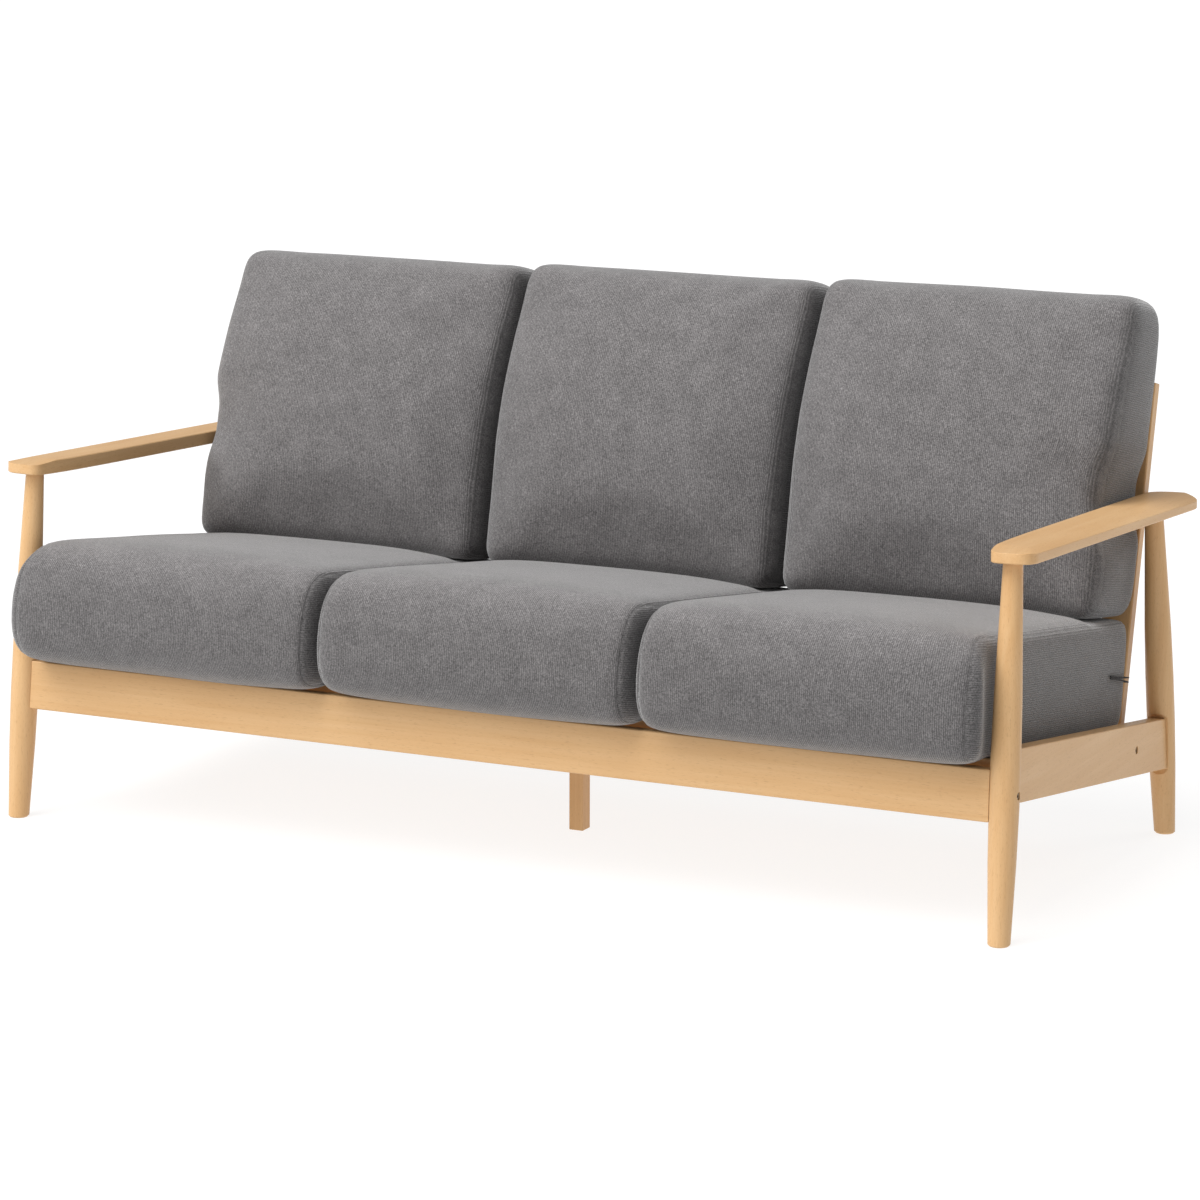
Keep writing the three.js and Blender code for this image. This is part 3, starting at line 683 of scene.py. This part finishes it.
def settle(pad, y, z):
    # A back cushion's foot sinks on to the seat cushions' tops.
    seat = next(n for n in nodes if n.startswith("seat_cushion"))
    up = rowAxes(seat)[2]
    places = np.array([v.co for v in nodes[seat].data.vertices])
    top = (places @ up).max()
    forward, upward = pad["axes"][1], pad["axes"][2]
    base = forward * pad["low"][1] + upward * pad["low"][2]
    slope = upward @ up
    drop = ((base @ up) + y * (forward @ up) - top - sinking["gap"]) / slope
    z = z - drop * (1 - easeStep(z / sinking["zone"]))
    return -softLimit(-z, drop, sinking["knee"])


def finishPad(pad, number):
    name, row, low, high = pad["name"], pad["row"], pad["low"], pad["high"]
    body = pad["pad"]
    places = pad["start"] + pad.get("move", 0)
    places = fillOut(places, low, high, row["swell"], taller.get(name, 0))
    shift = Vector((number * unevenness["step"], 0, 0))
    drift = np.array([noise.noise(Vector(p) * unevenness["scale"] + shift) for p in places])
    normals = np.zeros(len(places) * 3)
    body.data.vertices.foreach_set("co", places.ravel())
    body.data.update()
    body.data.vertices.foreach_get("normal", normals)
    places = places + normals.reshape(-1, 3) * (drift * unevenness["height"])[:, None]
    places = fitPad(pad, places)
    body.data.vertices.foreach_set("co", places.ravel())
    body.data.update()
    smooth = body.modifiers.new("fine", "SUBSURF")
    smooth.levels = 1
    smooth.render_levels = 1
    data = appliedMesh(body)
    bpy.data.objects.remove(body)
    data.name = name + "_cover"
    places = meshPlaces(data)
    rest = np.zeros(len(places) * 3, np.float32)
    data.attributes["restPlace"].data.foreach_get("vector", rest)
    rest = rest.reshape(-1, 3).astype(float)
    offset, run, around = seamOffset(pad, rest)
    onSide = offset < 0
    gap = seamLook["slant"] * np.abs(offset)
    seam = row["seamShow"] * np.exp(-(gap / seamLook["width"]) ** 2)
    step = number * seamLook["puckerStep"]
    gathers = np.array([noise.noise(Vector((r / seamLook["puckerPitch"], step, 0))) for r in run])
    near = np.exp(-gap / seamLook["puckerReach"])
    normals = np.zeros(len(places) * 3)
    data.vertices.foreach_get("normal", normals)
    lift = -seamLook["depth"] * seam + seamLook["pucker"] * row["seamShow"] * gathers * near
    normals = normals.reshape(-1, 3)
    paintFacingShade(data, normals, row)
    places = places + normals * lift[:, None]
    places = places @ pad["axes"]
    data.vertices.foreach_set("co", places.ravel())
    mark = data.attributes.new("seam", "FLOAT", "POINT")
    mark.data.foreach_set("value", seam.astype(np.float32))
    data.attributes.remove(data.attributes["restPlace"])
    layCloth(data, rest, run, around, onSide, low)
    data.shade_smooth()
    data.materials.clear()
    data.materials.append(chenilleCloth)
    data.update()
    cover = bpy.data.objects.new(name + "_cover", data)
    bpy.context.scene.collection.objects.link(cover)
    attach(cover, name)
    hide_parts(name)
    return cover


def paintFacingShade(data, normals, row):
    # Painted light and shade by which way each part of the cushion faces: tops lighter, sides, front, rear and
    # underside darker.
    tone = row["facingShade"]
    facing = normals ** 2
    depthTone = np.where(normals[:, 1] < 0, tone["front"], tone["rear"])
    heightTone = np.where(normals[:, 2] > 0, tone["top"], tone["under"])
    value = facing[:, 0] * tone["side"] + facing[:, 1] * depthTone + facing[:, 2] * heightTone
    mark = data.attributes.new("facingShade", "FLOAT", "POINT")
    mark.data.foreach_set("value", smoothField(data, value[:, None], 4)[:, 0].astype(np.float32))


def layCloth(data, rest, run, around, onSide, low):
    # The weave's ribs run round the main panel, and level across the side panels.
    corners = np.zeros(len(data.loops), np.int32)
    data.loops.foreach_get("vertex_index", corners)
    starts = np.zeros(len(data.polygons), np.int32)
    data.polygons.foreach_get("loop_start", starts)
    counts = np.zeros(len(data.polygons), np.int32)
    data.polygons.foreach_get("loop_total", counts)
    owner = np.repeat(np.arange(len(starts)), counts)
    sideShare = np.zeros(len(starts))
    np.add.at(sideShare, owner, onSide[corners])
    sideFace = (sideShare > counts / 2)[owner]
    first = run[corners[starts]][owner]
    along = run[corners]
    along = np.where(along - first > around / 2, along - around, along)
    along = np.where(first - along > around / 2, along + around, along)
    flat = rest[corners] - low
    pattern = np.where(sideFace[:, None], flat[:, [2, 1]], np.stack([flat[:, 0], along], 1))
    layer = data.uv_layers.new(name="weave")
    layer.data.foreach_set("uv", pattern.ravel().astype(np.float32))


def makeCushions():
    names = [n for n in sorted(nodes) if "cushion" in n and "tie" not in n]
    pads = [startPad(n, cushionRows[n.split("_")[0]]) for n in names]
    print("cushion blanks:", [len(p["pad"].data.vertices) for p in pads])
    inflate(pads)
    print("cushions swollen")
    for number, pad in enumerate(pads):
        finishPad(pad, number)
    print("cushions finished")


makeCushions()


studio = {
    "middle": (0, 0, 0.35),  # where the lights point
    "paperSize": 30,
    "paperTooth": 90.0,
    "paperRough": 0.75,
    "floorTone": (0.19, 0.19, 0.19, 1),
    "floorGlow": 0.84,
    "sky": 0.32,
    "sun": {"from": (-0.40, -0.62, 1.25), "angle": 50, "strength": 3.1},
    "key": {"place": (-2.2, -4.6, 2.6), "size": 1.6, "power": 62},
    "rim": {"place": (3.0, 3.0, 3.0), "size": 1.6, "power": 25},
}


def softLight(name):
    spec = studio[name]
    data = bpy.data.lights.new(name + "Light", "AREA")
    data.shape = "SQUARE"
    data.size = spec["size"]
    data.energy = spec["power"]
    light = bpy.data.objects.new(name + "Light", data)
    place = Vector(spec["place"])
    turn = (place - Vector(studio["middle"])).to_track_quat("Z", "Y").to_matrix().to_4x4()
    light.matrix_world = Matrix.Translation(place) @ turn
    bpy.context.scene.collection.objects.link(light)


def makeStudio():
    form = bmesh.new()
    bmesh.ops.create_grid(form, x_segments=1, y_segments=1, size=studio["paperSize"])
    data = bpy.data.meshes.new("studioFloor")
    form.to_mesh(data)
    form.free()
    floor = bpy.data.objects.new("studioFloor", data)
    bpy.context.scene.collection.objects.link(floor)
    material, tree, shader = newMaterial("palePaper")
    place = addNode(tree, "ShaderNodeTexCoord", output="Object")
    tooth = addNode(tree, "ShaderNodeTexNoise", None, {
        "Vector": place, "Scale": studio["paperTooth"], "Detail": 2.0})
    feed(tree, shader, Roughness=studio["paperRough"] + 0.1 * tooth)
    shader.inputs["Base Color"].default_value = studio["floorTone"]
    shader.inputs["Emission Color"].default_value = (1, 1, 1, 1)
    shader.inputs["Emission Strength"].default_value = studio["floorGlow"]
    data.materials.append(material)
    world = bpy.data.worlds.new("studioSky")
    world.use_nodes = True
    world.node_tree.nodes["Background"].inputs["Color"].default_value = (1, 1, 1, 1)
    world.node_tree.nodes["Background"].inputs["Strength"].default_value = studio["sky"]
    bpy.context.scene.world = world
    for name in ("key", "rim"):
        softLight(name)
    data = bpy.data.lights.new("skyLight", "SUN")
    data.energy = studio["sun"]["strength"]
    data.angle = math.radians(studio["sun"]["angle"])
    sun = bpy.data.objects.new("skyLight", data)
    sun.matrix_world = Vector(studio["sun"]["from"]).to_track_quat("Z", "Y").to_matrix().to_4x4()
    bpy.context.scene.collection.objects.link(sun)
    bpy.context.scene.view_settings.view_transform = "Standard"


makeStudio()
print("studio ready")
